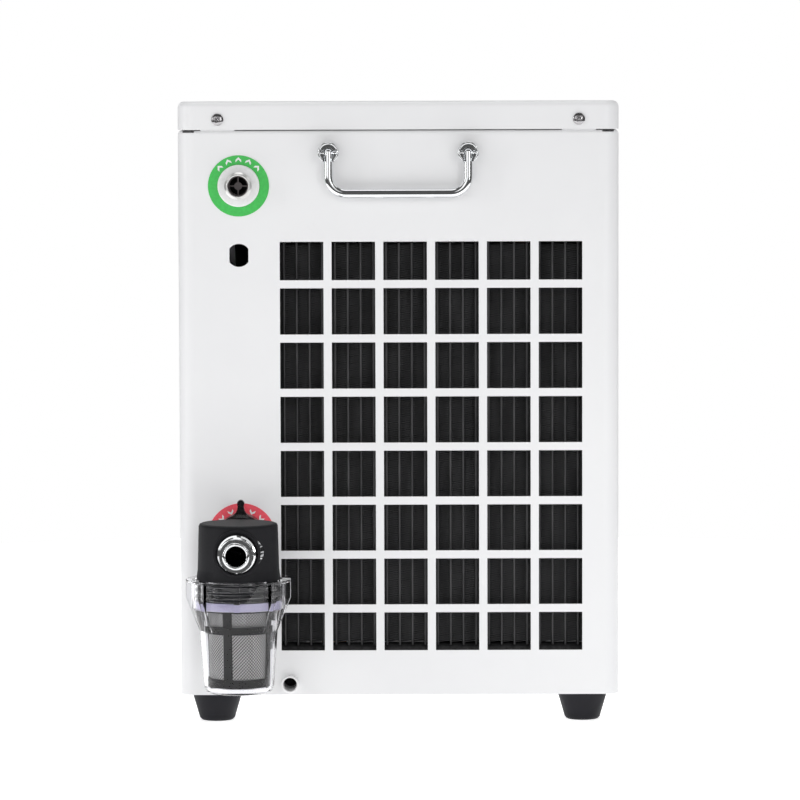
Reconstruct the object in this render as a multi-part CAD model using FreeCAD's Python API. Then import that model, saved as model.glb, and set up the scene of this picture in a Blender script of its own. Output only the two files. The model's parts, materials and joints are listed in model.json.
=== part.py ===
import FreeCAD, Part
import math
import os

# Refrigerated water chiller for an ice bath, free-standing, connection side facing -Y.
# Millimetres, +Z up, origin on the floor under the middle of the casing.

os.makedirs("parts", exist_ok=True)
V = FreeCAD.Vector

# Casing
casing_width = 340.0
casing_depth = 460.0
body_height = 437.0
lid_height = 21.8
lid_seam = 0.5
sheet = 1.2
corner_radius = 12.0
lid_edge_radius = 4.5
fold_radius = 3.0
return_length = 45.0
flange_width = 13.0
panel_seam = 0.3
corner_notch_width = 9.0
corner_notch_height = 1.6
tab_width = 26.0
tab_height = 17.0
lid_screw_inset = 31.0
lid_screw_drop = 13.9
lid_screw_head = 9.2
lid_screw_shank = 4.0

# Base pan and feet
pan_thickness = 1.5
pan_flange_height = 17.0
foot_height = 22.0
foot_top_diameter = 38.5
foot_bottom_diameter = 27.5
foot_edge_radius = 1.6
foot_side_inset = 27.5
foot_end_inset = 24.0
foot_bolt_diameter = 6.0
foot_bolt_head = 11.0

# Grille, punched in the connection panel
grille_columns = 6
grille_rows = 8
end_window_cut = 6.1
column_bar = 6.3
row_bar = 6.2
grille_left_margin = 78.45
grille_right_margin = 28.45
grille_bottom_margin = 34.5
grille_top_margin = 85.7

# Drop handles
handle_span = 107.4
handle_drop = 31.6
handle_rod = 7.4
handle_bend = 13.5
handle_below_top = 39.3
pivot_standoff = 7.2
ferrule_diameter = 16.2
ferrule_wall = 1.9
ferrule_depth = 12.4
ferrule_back = 2.4
pivot_pin = 3.0
handle_stud = 8.0
handle_nut = 13.0
handle_nut_height = 5.0
running_gap = 0.08
slot_gap = 0.5

# Water outlet
outlet_inset = 47.0
outlet_below_top = 42.5
label_diameter = 47.0
label_thickness = 0.4
flange_diameter = 32.2
flange_thickness = 3.0
outlet_thread = 20.96
thread_shoulder = 0.9
outlet_bore = 15.6
outlet_reach = 13.5
stub_inside = 26.0
backnut_width = 27.0
backnut_height = 6.0
spider_setback = 5.0
spider_depth = 4.0
spider_web = 0.9
spider_rim = 0.9
spider_hub = 6.0

# Spare double-D hole
spare_hole_below_outlet = 53.5
spare_hole_across = 14.6
spare_hole_diameter = 17.8

# Water inlet and wing union nut
inlet_inset = 48.0
inlet_height = 145.0
inlet_label_diameter = 52.6
inlet_thread = 26.4
inlet_bore = 17.0
inlet_reach = 18.0
thread_gap = 0.1
union_diameter = 39.0
union_length = 17.0
union_start = 7.5
wing_reach = 30.4
wing_tip_radius = 2.8
wing_stem = 4.9
wing_flare = 24.0
wing_thickness = 6.0
wing_bead = 1.0
wing_bead_height = 0.8
tail_diameter = 21.0
tail_bore = 15.0

# Strainer
strainer_out = 70.0
head_top_diameter = 60.0
head_base_diameter = 63.4
head_rise = 18.0
head_edge = 2.2
boss_diameter = 35.6
boss_out = 104.0
boss_recess = 2.6
boss_rim = 1.7
rear_boss_diameter = 33.0
nipple_out = 123.0
nipple_drop = 2.3
nipple_thread = 26.2
nipple_collar = 28.6
nipple_bore = 15.2
nipple_lip = 18.2
nipple_lip_height = 1.4
nipple_cone = 3.4
bowl_rim_drop = 24.4
rim_diameter = 80.0
rim_thickness = 1.8
neck_height = 21.8
cone_drop = 38.8
bowl_diameter = 59.0
bowl_foot_diameter = 53.0
bowl_height = 86.6
bowl_wall = 2.4
bowl_foot_radius = 5.0
gusset_count = 8
gusset_width = 4.8
gusset_straight = 14.0
gusset_tip = 2.0
gusset_edge = 0.6
seal_gap = 0.3
skirt_ridge = 1.1
skirt_turns = 3
head_flare = 6.0
gasket_height = 6.4
gasket_drop = 22.0
gasket_ledge = 4.0
basket_top_diameter = 50.0
basket_foot_diameter = 47.0
basket_bar = 6.2
basket_wall = 1.6
basket_ring = 6.4
basket_mid_ring_drop = 40.3
basket_bottom_drop = 81.2
basket_phase = -18.5
mesh_wall = 0.5

# Drain spigot
drain_from_inlet = 37.0
drain_height = 31.0
drain_diameter = 13.6
drain_body = 12.4
drain_bore = 10.4
drain_reach = 8.0
drain_inside = 22.0

# Condenser, vertical flat tubes with folded fins
condenser_gap = 13.0
tube_pitch = 9.9
core_overlap = 7.2
tube_thickness = 1.9
core_depth = 16.0
core_rise = 2.5
core_over_grille = 0.7
header_diameter = 20.0
fin_inset = 1.0
fin_end_gap = 2.0
tube_socket = 4.0
bracket_sheet = 2.0

# Fan, guard and motor on the rear panel
fan_height = 192.0
fan_edge_margin = 14.0
rotor_tip_gap = 9.0
rotor_hub = 92.0
rotor_depth = 34.0
rotor_inset = 24.0
blade_count = 5
blade_thickness = 2.2
guard_wire = 2.4
guard_rings = 6
guard_arms = 8
guard_pitch = 20.0
guard_hub = 76.0
guard_screw_margin = 9.0
motor_diameter = 84.0
motor_depth = 20.0
shaft_diameter = 8.0

# Refrigeration and water parts inside
compressor_inset = 98.0
compressor_y = -62.0
compressor_diameter = 122.0
compressor_height = 176.0
compressor_dome = 26.0
grommet_height = 14.0
grommet_diameter = 20.0
compressor_port = 26.0
compressor_socket = 4.0
compressor_foot_circle = 150.0
compressor_foot_angles = (90, 210, 330)
vessel_gap = 0.8
vessel_y = 62.0
vessel_diameter = 86.0
vessel_height = 300.0
vessel_lip = 3.0
vessel_cap_height = 22.0
vessel_port_drop = 23.5
hose_diameter = 17.0
port_boss = 11.0
port_boss_reach = 8.0
low_port_rise = 50.0
pump_inset = 80.0
pump_height = 68.0
pump_diameter = 74.0
pump_depth = 36.0
pump_motor_diameter = 62.0
pump_motor_length = 58.0
pump_nose = 10.0
pump_foot_width = 24.0
motor_foot_width = 40.0
motor_foot_inset = 10.0
pump_drain_reach = 25.0
hose_bend = 19.0
refrigerant_tube = 8.0
refrigerant_bend = 16.0

# Electrical parts
box_width = 74.0
box_depth = 190.0
box_height = 86.0
box_top_gap = 22.0
box_y = 50.0
controller_inset = 112.0
controller_below_top = 93.0
controller_width = 78.0
controller_face = 36.0
controller_bezel = 3.0
controller_depth = 26.0
controller_lap = 3.0
window_size_x = 34.0
window_size_z = 20.0
button_diameter = 7.0
button_pitch = 10.5
button_proud = 1.2
button_depth = 8.0
button_float = 0.4
button_travel = 0.8
power_inset = 84.0
power_width = 28.0
power_face = 50.0
power_depth = 24.0
power_lap = 2.0
power_flange = 2.5
socket_width = 24.2
socket_height = 16.4
socket_depth = 17.0
rocker_width = 12.8
rocker_height = 19.0
rocker_swing = 8.0
rocker_gap = 0.4
pin_width = 2.0
pin_height = 4.0

# Levels and planes that the parts share
front = -casing_depth / 2
rear = casing_depth / 2
side = casing_width / 2
body_bottom = foot_height
body_top = body_bottom + body_height
lid_bottom = body_top + lid_seam
lid_top = lid_bottom + lid_height
pan_top = body_bottom + pan_thickness
pan_rim = body_bottom + pan_flange_height
handle_height = lid_top - handle_below_top
lid_screw_height = lid_top - lid_screw_drop
lid_screw_x = side - lid_screw_inset
grille_left = -side + grille_left_margin
grille_width = casing_width - grille_left_margin - grille_right_margin
grille_bottom = body_bottom + grille_bottom_margin
grille_height = body_height - grille_bottom_margin - grille_top_margin
window_width = (grille_width - (grille_columns - 1) * column_bar) / grille_columns
window_height = (grille_height - (grille_rows - 1) * row_bar + 2 * end_window_cut) / grille_rows
outlet_x = -side + outlet_inset
outlet_height = body_top - outlet_below_top
outlet_body = outlet_thread - 2 * thread_shoulder
spare_hole_height = outlet_height - spare_hole_below_outlet
inlet_x = -side + inlet_inset
drain_x = inlet_x + drain_from_inlet
strainer_y = front - strainer_out
nipple_height = inlet_height - nipple_drop
skirt_radius = head_base_diameter / 2 + skirt_ridge
neck_bore = skirt_radius + seal_gap
head_top = inlet_height + head_rise
bowl_rim_height = inlet_height - bowl_rim_drop
cone_bottom = bowl_rim_height - cone_drop
bowl_bottom = bowl_rim_height - bowl_height
gasket_bottom = bowl_rim_height - gasket_drop
gasket_top = gasket_bottom + gasket_height
basket_mid_ring = bowl_rim_height - basket_mid_ring_drop
basket_bottom = bowl_rim_height - basket_bottom_drop
fan_centre_x = grille_left + grille_width / 2
fan_opening = 2 * (side - fan_centre_x - fan_edge_margin)
rotor_diameter = fan_opening - 2 * rotor_tip_gap
guard_screw_circle = fan_opening + 2 * guard_screw_margin
core_bottom = grille_bottom + core_rise
core_top = grille_bottom + grille_height + core_over_grille
tube_count = round((grille_width + 2 * core_overlap) / tube_pitch) + 1
vessel_x = -side + sheet + vessel_gap + vessel_lip + vessel_diameter / 2
vessel_high_port = pan_top + vessel_height - vessel_port_drop
compressor_x = side - compressor_inset
pump_y = front + pump_inset
low_port = pump_height + pump_diameter / 2 + low_port_rise
controller_x = -side + controller_inset
controller_height = body_top - controller_below_top
power_x = side - power_inset
compressor_top = pan_top + grommet_height + compressor_height + compressor_socket


# Shape helpers

def block(x0, x1, y0, y1, z0, z1):
    return Part.makeBox(x1 - x0, y1 - y0, z1 - z0, V(x0, y0, z0))


def rod(start, direction, radius, length):
    return Part.makeCylinder(radius, length, V(*start), V(*direction))


def tube(start, direction, outer, inner, length):
    return rod(start, direction, outer, length).cut(rod(start, direction, inner, length))


def centred_block(x, width, y0, y1, z, height):
    """A block across the casing's depth, with its middle given in x and z."""
    return block(x - width / 2, x + width / 2, y0, y1, z - height / 2, z + height / 2)


def front_hole(x, z, diameter):
    """A round hole through the front sheet."""
    return rod((x, front - 1, z), (0, 1, 0), diameter / 2, sheet + 2)


def spin(profile, centre, axis=(0, 0, 1)):
    """Turns a closed (radius, height) outline about an axis through the centre."""
    points = [V(r, 0, h) for r, h in profile]
    face = Part.Face(Part.makePolygon(points + points[:1]))
    shape = face.revolve(V(0, 0, 0), V(0, 0, 1), 360)
    shape.Placement = FreeCAD.Placement(V(*centre), FreeCAD.Rotation(V(0, 0, 1), V(*axis)))
    return shape


def fuse_all(shapes):
    return shapes[0].multiFuse(shapes[1:]).removeSplitter() if len(shapes) > 1 else shapes[0]


def cut_all(shape, tools):
    return shape.cut(Part.makeCompound(tools))


def turn_half(shape):
    """The same piece on the opposite face of the casing."""
    copy = shape.copy()
    copy.rotate(V(0, 0, 0), V(0, 0, 1), 180)
    return copy


def pipe(points, radius, bend):
    """A round bar along straight runs joined by tangent arcs."""
    path = [V(*p) for p in points]
    edges = []
    last = path[0]
    for before, corner, after in zip(path, path[1:], path[2:]):
        into = (corner - before).normalize()
        away = (after - corner).normalize()
        turn = math.acos(max(-1.0, min(1.0, into.dot(away))))
        reach = bend * math.tan(turn / 2)
        start = corner - into * reach
        end = corner + away * reach
        bisector = (away - into).normalize()
        middle = corner + bisector * (bend / math.cos(turn / 2) - bend)
        edges.append(Part.LineSegment(last, start).toShape())
        edges.append(Part.Arc(start, middle, end).toShape())
        last = end
    edges.append(Part.LineSegment(last, path[-1]).toShape())
    section = Part.Wire(Part.Circle(path[0], (path[1] - path[0]).normalize(), radius).toShape())
    return Part.Wire(edges).makePipeShell([section], True, False)


def rounded_block(width, y0, y1, z0, z1, corner, top_round, both_ends):
    """An upright casing form: rounded upright corners and a rounded top edge."""
    shape = block(-width / 2, width / 2, y0, y1, z0, z1)
    upright = []
    for edge in shape.Edges:
        a, b = edge.Vertexes[0].Point, edge.Vertexes[1].Point
        is_upright = abs(a.x - b.x) < 1e-6 and abs(a.y - b.y) < 1e-6
        at_front = abs(a.y - y0) < 1e-6
        if is_upright and (both_ends or at_front):
            upright.append(edge)
    shape = shape.makeFillet(corner, upright)
    if top_round > 0:
        top = []
        for edge in shape.Edges:
            box = edge.BoundBox
            on_top = box.ZMin > z1 - 1e-6
            at_back = box.YMin > y1 - 1e-6
            if on_top and (both_ends or not at_back):
                top.append(edge)
        shape = shape.makeFillet(top_round, top)
    return shape


def save(name, shapes):
    parts = shapes if isinstance(shapes, list) else [shapes]
    solids = [solid for part in parts for solid in part.Solids]
    result = solids[0] if len(solids) == 1 else Part.makeCompound(solids)
    result.exportStep("parts/" + name + ".step")


# Casing sheets

def end_panel():
    """A folded end panel: rounded corners, side returns, turned-in top edge and lid tabs."""
    back = front + return_length
    outer = rounded_block(casing_width, front, back, body_bottom, body_top,
                          corner_radius, fold_radius, False)
    inner = rounded_block(casing_width - 2 * sheet, front + sheet, back - sheet, body_bottom - 1,
                          body_top - sheet, corner_radius - sheet, fold_radius - sheet, False)
    opening = block(-side + flange_width, side - flange_width, front + flange_width, back + 1,
                    body_bottom - 1, body_top + 1)
    notches = []
    for sign in (-1, 1):
        x = sign * (side - corner_radius + corner_notch_width / 2 - 1)
        notches.append(block(x - corner_notch_width / 2, x + corner_notch_width / 2, front - 1,
                             front + flange_width + 1, body_top - corner_notch_height, body_top + 1))
    pan_room = block(-side + sheet, side - sheet, back - sheet - 1, back + 1,
                     body_bottom - 1, pan_rim + panel_seam)
    panel = cut_all(outer.cut(inner), [opening, pan_room] + notches)
    return fuse_all([panel] + [lid_tab(sign * lid_screw_x) for sign in (-1, 1)])


def lid_tab(x):
    """An upright tab behind the lid's skirt, which a lid screw bites into."""
    y = front + sheet + panel_seam
    tab = block(x - tab_width / 2, x + tab_width / 2, y, y + sheet, body_top - sheet, body_top + tab_height)
    return tab.cut(rod((x, y - 1, lid_screw_height), (0, 1, 0), lid_screw_shank / 2, sheet + 2))


def handle_holes():
    return [front_hole(sign * handle_span / 2, handle_height, handle_stud) for sign in (-1, 1)]


def grille_windows():
    windows = []
    z = grille_bottom
    for row in range(grille_rows):
        at_end = row in (0, grille_rows - 1)
        height = window_height - end_window_cut if at_end else window_height
        for column in range(grille_columns):
            x = grille_left + column * (window_width + column_bar)
            windows.append(block(x, x + window_width, front - 1, front + sheet + 1, z, z + height))
        z += height + row_bar
    return windows


def double_d_hole():
    hole = front_hole(outlet_x, spare_hole_height, spare_hole_diameter)
    flats = centred_block(outlet_x, spare_hole_across, front - 2, front + sheet + 2,
                          spare_hole_height, 2 * spare_hole_diameter)
    return hole.common(flats)


def connection_panel():
    holes = grille_windows() + handle_holes() + [double_d_hole()]
    holes.append(front_hole(outlet_x, outlet_height, outlet_body))
    holes.append(front_hole(inlet_x, inlet_height, inlet_thread))
    holes.append(front_hole(drain_x, drain_height, drain_body))
    return cut_all(end_panel(), holes)


def guard_screw_places():
    r = guard_screw_circle / 2
    turns = [math.radians(angle) for angle in (45, 135, 225, 315)]
    return [(fan_centre_x + r * math.cos(turn), fan_height + r * math.sin(turn)) for turn in turns]


def fan_panel():
    panel = turn_half(cut_all(end_panel(), handle_holes()))
    y0, y1 = rear - sheet - 1, rear + 1
    holes = [rod((fan_centre_x, y0, fan_height), (0, 1, 0), fan_opening / 2, sheet + 2)]
    for x, z in guard_screw_places():
        holes.append(rod((x, y0, z), (0, 1, 0), lid_screw_shank / 2, sheet + 2))
    holes.append(centred_block(controller_x, controller_width - 2 * controller_lap, y0, y1,
                               controller_height, controller_face - 2 * controller_lap))
    holes.append(centred_block(power_x, power_width - 2 * power_lap, y0, y1,
                               controller_height, power_face - 2 * power_lap))
    return cut_all(panel, holes)


def side_panel(sign):
    """A flat side sheet with turned-in edges, between the returns of the two end panels."""
    half = casing_depth / 2 - return_length - panel_seam
    lip = side - flange_width - 1
    outer = block(side - flange_width, side, -half, half, body_bottom, body_top)
    inner = block(lip, side - sheet, -half + sheet, half - sheet, body_bottom - 1, body_top - sheet)
    pan_room = block(lip, side - sheet, -half - 1, half + 1, body_bottom - 1, pan_rim + panel_seam)
    panel = cut_all(outer, [inner, pan_room])
    edges = []
    for edge in panel.Edges:
        box = edge.BoundBox
        if box.XMin > side - 1e-6 and box.ZMin > body_top - 1e-6:
            edges.append(edge)
    panel = panel.makeFillet(min(fold_radius, sheet * 0.9), edges)
    return panel if sign > 0 else panel.mirror(V(0, 0, 0), V(1, 0, 0))


def base_pan():
    gap = sheet + panel_seam
    wall = gap + pan_thickness
    outer = rounded_block(casing_width - 2 * gap, front + gap, rear - gap, body_bottom, pan_rim,
                          corner_radius - gap, 0, True)
    inner = rounded_block(casing_width - 2 * wall, front + wall, rear - wall, pan_top, pan_rim + 1,
                          corner_radius - wall, 0, True)
    holes = [rod((drain_x, front, drain_height), (0, 1, 0), drain_body / 2, wall + 2)]
    for x, y in foot_places():
        holes.append(rod((x, y, body_bottom - 1), (0, 0, 1), foot_bolt_diameter / 2, pan_thickness + 2))
    return cut_all(outer.cut(inner), holes)


def top_lid():
    outer = rounded_block(casing_width, front, rear, lid_bottom, lid_top,
                          corner_radius, lid_edge_radius, True)
    inner = rounded_block(casing_width - 2 * sheet, front + sheet, rear - sheet, lid_bottom - 1,
                          lid_top - sheet, corner_radius - sheet, lid_edge_radius - sheet, True)
    holes = [front_hole(x, lid_screw_height, lid_screw_shank) for x in (-lid_screw_x, lid_screw_x)]
    return cut_all(outer.cut(inner), holes + [turn_half(hole) for hole in holes])


def pan_head_screw(head, shank, length):
    """A pan-head screw along +Z from the underside of its head."""
    r = head / 2
    profile = [(0, -length), (shank / 2, -length), (shank / 2, 0), (r, 0), (r, 0.9),
               (r * 0.82, 1.9), (r * 0.45, 2.5), (0, 2.6)]
    return spin(profile, (0, 0, 0))


def place(shape, point, direction):
    """Points a piece that was drawn along +Z in another direction."""
    copy = shape.copy()
    copy.Placement = FreeCAD.Placement(V(*point), FreeCAD.Rotation(V(0, 0, 1), V(*direction)))
    return copy


# Feet

def foot_places():
    x = side - foot_side_inset
    y = rear - foot_end_inset
    return [(-x, -y), (x, -y), (-x, y), (x, y)]


def rubber_foot(x, y):
    top, bottom, edge = foot_top_diameter / 2, foot_bottom_diameter / 2, foot_edge_radius
    bolt = foot_bolt_diameter / 2
    recess = foot_bolt_head / 2 + 0.5
    profile = [(recess, 0), (bottom - edge, 0), (bottom, edge), (top, foot_height - edge),
               (top - edge * 0.4, foot_height), (bolt, foot_height), (bolt, foot_height / 2),
               (recess, foot_height / 2)]
    return spin(profile, (x, y, 0))


def foot_bolts():
    bolts = []
    for x, y in foot_places():
        z = foot_height / 2
        shank = rod((x, y, z), (0, 0, 1), foot_bolt_diameter / 2, foot_height - z + pan_thickness + 5)
        head = rod((x, y, z - 4), (0, 0, 1), foot_bolt_head / 2, 4)
        bolts.append(shank.fuse(head).removeSplitter())
    return bolts


# Drop handles

def ferrule(x):
    """A cup that stands on the panel, slotted below for the leg, with a stud through the panel."""
    r = ferrule_diameter / 2
    bore = r - ferrule_wall
    rim = 0.7
    profile = [(0, 0), (r, 0), (r, ferrule_depth - rim), (r - rim, ferrule_depth),
               (bore + rim * 0.4, ferrule_depth), (bore, ferrule_depth - rim * 0.5),
               (bore, ferrule_back), (0, ferrule_back)]
    cup = spin(profile, (x, front, handle_height), (0, -1, 0))
    stud = rod((x, front, handle_height), (0, 1, 0), handle_stud / 2, sheet)
    nut = rod((x, front + sheet, handle_height), (0, 1, 0), handle_nut / 2, handle_nut_height)
    half = handle_rod / 2 + slot_gap
    slot = block(x - half, x + half, front - ferrule_depth - 1, front - pivot_standoff + half,
                 handle_height - r - 1, handle_height)
    pin_start = (x - r - 1, front - pivot_standoff, handle_height)
    pin_hole = rod(pin_start, (1, 0, 0), pivot_pin / 2, 2 * r + 2)
    return fuse_all([cup, stud, nut]).cut(slot).cut(pin_hole)


def pivot_pin_at(x):
    r = math.sqrt((ferrule_diameter / 2) ** 2 - (pivot_pin / 2) ** 2)
    return rod((x - r, front - pivot_standoff, handle_height), (1, 0, 0), pivot_pin / 2, 2 * r)


def drop_handle():
    y = front - pivot_standoff
    left, right = -handle_span / 2, handle_span / 2
    low = handle_height - handle_drop
    points = [(left, y, handle_height), (left, y, low), (right, y, low), (right, y, handle_height)]
    pieces = [pipe(points, handle_rod / 2, handle_bend)]
    holes = []
    for x in (left, right):
        pieces.append(Part.makeSphere(handle_rod / 2, V(x, y, handle_height)))
        start = (x - handle_rod, y, handle_height)
        holes.append(rod(start, (1, 0, 0), pivot_pin / 2 + running_gap, 2 * handle_rod))
    return cut_all(fuse_all(pieces), holes)


# Water outlet

def ring_label(x, z, outer):
    return tube((x, front, z), (0, -1, 0), outer / 2, flange_diameter / 2 + 0.1, label_thickness)


def port_flange(x, z, bore):
    r, edge = flange_diameter / 2, 1.0
    profile = [(bore / 2, 0), (r, 0), (r, flange_thickness - edge), (r - edge, flange_thickness),
               (bore / 2, flange_thickness)]
    return spin(profile, (x, front, z), (0, -1, 0))


def backnut(x, z, bore):
    """A six-sided nut that pulls the stub up to the panel from inside."""
    points = []
    for corner in range(7):
        angle = math.radians(60 * corner + 30)
        r = backnut_width / 2 / math.cos(math.radians(30))
        points.append(V(x + r * math.cos(angle), front + sheet, z + r * math.sin(angle)))
    nut = Part.Face(Part.makePolygon(points)).extrude(V(0, backnut_height, 0))
    return nut.cut(rod((x, front, z), (0, 1, 0), bore / 2, backnut_height + 2 * sheet))


def outlet_stub():
    """Threaded stub whose shoulder holds the flange, on a slimmer body through the panel."""
    r, body, bore = outlet_thread / 2, outlet_body / 2, outlet_bore / 2
    chamfer = 0.9
    profile = [(bore, -stub_inside), (body, -stub_inside), (body, flange_thickness), (r, flange_thickness),
               (r, outlet_reach - chamfer), (r - chamfer, outlet_reach), (bore + 0.5, outlet_reach),
               (bore, outlet_reach - 0.6)]
    return spin(profile, (outlet_x, front, outlet_height), (0, -1, 0))


def outlet_spider():
    """A cross-shaped flow straightener with a hub, across the outlet bore."""
    x, z = outlet_x, outlet_height
    r = outlet_bore / 2
    y = front - outlet_reach + spider_setback
    back = y + spider_depth
    ring = tube((x, y, z), (0, 1, 0), r, r - spider_rim, spider_depth)
    hub = rod((x, y, z), (0, 1, 0), spider_hub / 2, spider_depth)
    arm = 2 * r - spider_rim
    level = centred_block(x, arm, y, back, z, spider_web)
    upright = centred_block(x, spider_web, y, back, z, arm)
    return fuse_all([ring, hub, level, upright])


# Water inlet and union nut

def inlet_stub():
    r, bore, chamfer = inlet_thread / 2, inlet_bore / 2, 1.2
    profile = [(bore, -stub_inside), (r, -stub_inside), (r, inlet_reach - chamfer),
               (r - chamfer, inlet_reach), (bore, inlet_reach)]
    return spin(profile, (inlet_x, front, inlet_height), (0, -1, 0))


def wing(sign):
    """One wing of the union nut: a slim stem with a round tip, flared into the nut, beaded at its edge."""
    root = union_diameter / 2
    stem = wing_stem / 2
    shoulder = wing_reach - wing_tip_radius - math.sqrt(wing_tip_radius ** 2 - stem ** 2)
    flare = math.radians(wing_flare)
    low = V(root * math.sin(flare), 0, root * math.cos(flare))
    high = V(stem, 0, shoulder)
    bow = V(stem + 0.27 * (low.x - stem), 0, low.z + 0.33 * (shoulder - low.z))
    right = Part.Arc(low, bow, high).toShape()
    cap = Part.Arc(high, V(0, 0, wing_reach), V(-high.x, 0, high.z)).toShape()
    left = Part.Arc(V(-high.x, 0, high.z), V(-bow.x, 0, bow.z), V(-low.x, 0, low.z)).toShape()
    floor = Part.LineSegment(V(-low.x, 0, low.z), V(low.x, 0, low.z)).toShape()
    face = Part.Face(Part.Wire([right, cap, left, floor]))
    shape = face.extrude(V(0, -wing_thickness, 0))
    field = face.makeOffset2D(-wing_bead).extrude(V(0, -wing_bead_height - 1, 0))
    near, far = field.copy(), field.copy()
    near.translate(V(0, -wing_thickness + wing_bead_height, 0))
    far.translate(V(0, 1, 0))
    shape = cut_all(shape, [near, far])
    if sign < 0:
        shape.rotate(V(0, 0, 0), V(0, 1, 0), 180)
    shape.translate(V(inlet_x, front - union_start - (union_length - wing_thickness) / 2, inlet_height))
    return shape


def union_nut():
    r = union_diameter / 2
    bore = inlet_thread / 2 + thread_gap
    lip = tail_diameter / 2 + 2 * thread_gap
    end = union_start + union_length
    seat = inlet_reach + 3.4
    profile = [(bore, union_start), (r - 1, union_start), (r, union_start + 1), (r, end - 2),
               (r - 2, end), (lip, end), (lip, seat), (bore, seat)]
    body = spin(profile, (inlet_x, front, inlet_height), (0, -1, 0))
    core = rod((inlet_x, front - union_start + 1, inlet_height), (0, -1, 0), r - 2, union_length + 2)
    return fuse_all([body] + [wing(sign).cut(core) for sign in (1, -1)])


def strainer_tail():
    """The tube with a collar that the union nut clamps to the inlet stub."""
    r, bore = tail_diameter / 2, tail_bore / 2
    collar = inlet_thread / 2 - 1.0
    start = inlet_reach + 0.2
    step = start + 2.8
    end = strainer_out - head_top_diameter / 2 + 1.0
    profile = [(bore, start), (collar, start), (collar, step), (r, step), (r, end), (bore, end)]
    return spin(profile, (inlet_x, front, inlet_height), (0, -1, 0))


# Strainer

def strainer_head():
    """Moulded head: tapered drum, bosses front and back, and the skirt with the screw ridges below."""
    front_axis = (inlet_x, strainer_y, nipple_height)
    rear_axis = (inlet_x, strainer_y, inlet_height)
    drum = spin(head_profile(), (inlet_x, strainer_y, 0))
    front_boss = rod(front_axis, (0, -1, 0), boss_diameter / 2, boss_out - strainer_out)
    rear_boss = rod(rear_axis, (0, 1, 0), rear_boss_diameter / 2, head_top_diameter / 2 + 2)
    head = fuse_all([drum, front_boss, rear_boss])
    cavity = rod((inlet_x, strainer_y, gasket_top - 1), (0, 0, 1), head_bore(),
                 inlet_height - gasket_top + 10)
    recess = rod((inlet_x, front - boss_out + boss_recess, nipple_height), (0, -1, 0),
                 boss_diameter / 2 - boss_rim, boss_recess + 1)
    port = rod(front_axis, (0, -1, 0), nipple_thread / 2, boss_out - strainer_out + 1)
    tail_port = rod(rear_axis, (0, 1, 0), tail_diameter / 2, strainer_out)
    return cut_all(head, [cavity, recess, port, tail_port])


def head_profile():
    """Outline of the drum from the gasket up: ridged skirt, flared foot, slight taper, rounded top."""
    top, base = head_top_diameter / 2, head_base_diameter / 2
    mouth = bowl_rim_height + 1.5
    pitch = (bowl_rim_height - gasket_top) / skirt_turns
    profile = [(0, gasket_top + 4), (head_bore(), gasket_top + 4), (head_bore(), gasket_top),
               (base, gasket_top)]
    for ridge in range(skirt_turns):
        z = gasket_top + pitch * (ridge + 0.25)
        profile += [(base, z), (skirt_radius, z + pitch * 0.15), (skirt_radius, z + pitch * 0.4),
                    (base, z + pitch * 0.55)]
    profile += [(base, mouth), (base - 0.8, mouth + head_flare), (top, head_top - head_edge),
                (top - head_edge * 0.3, head_top - head_edge * 0.3), (top - head_edge, head_top),
                (0, head_top)]
    return profile


def head_bore():
    return basket_top_diameter / 2 + 1.0


def strainer_nipple():
    """Plated nipple that screws into the head's front boss: collar, barrel, cone and thin lip."""
    r, bore, lip = nipple_thread / 2, nipple_bore / 2, nipple_lip / 2
    collar = nipple_collar / 2
    seat = boss_out - boss_recess - strainer_out
    end = nipple_out - strainer_out
    cone_end = end - nipple_lip_height
    profile = [(bore, seat - 9), (r, seat - 9), (r, seat), (collar, seat), (collar, seat + 5),
               (r, seat + 6), (r, cone_end - nipple_cone), (lip + 0.6, cone_end), (lip, cone_end),
               (lip, end - 0.4), (lip - 0.4, end), (bore + 0.6, end), (bore, end - 0.8)]
    return spin(profile, (inlet_x, strainer_y, nipple_height), (0, -1, 0))


def strainer_bowl():
    """Clear bowl: a neck with a thin wide rim, a cone and a tapered cup, stiffened by gussets."""
    neck, rim = neck_bore + bowl_wall, rim_diameter / 2
    cup, foot = bowl_diameter / 2, bowl_foot_diameter / 2
    neck_bottom = bowl_rim_height - neck_height
    rim_bottom = bowl_rim_height - rim_thickness
    corner = bowl_foot_radius
    floor = bowl_bottom + bowl_wall
    outside = [(0, bowl_bottom), (foot - corner, bowl_bottom),
               (foot - corner * 0.3, bowl_bottom + corner * 0.25), (foot, bowl_bottom + corner),
               (cup, cone_bottom), (neck, neck_bottom), (neck, rim_bottom), (rim, rim_bottom),
               (rim, bowl_rim_height - 0.5), (rim - 0.5, bowl_rim_height)]
    inside = [(neck_bore, bowl_rim_height), (neck_bore, gasket_bottom),
              (neck_bore - gasket_ledge, gasket_bottom), (cup - bowl_wall, cone_bottom),
              (foot - bowl_wall, floor + corner * 0.5), (foot - corner, floor), (0, floor)]
    pieces = [spin(outside + inside, (inlet_x, strainer_y, 0))]
    gusset = bowl_gusset()
    for number in range(gusset_count):
        copy = gusset.copy()
        copy.rotate(V(0, 0, 0), V(0, 0, 1), 360 / gusset_count * number)
        copy.translate(V(inlet_x, strainer_y, 0))
        pieces.append(copy)
    return fuse_all(pieces)


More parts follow.
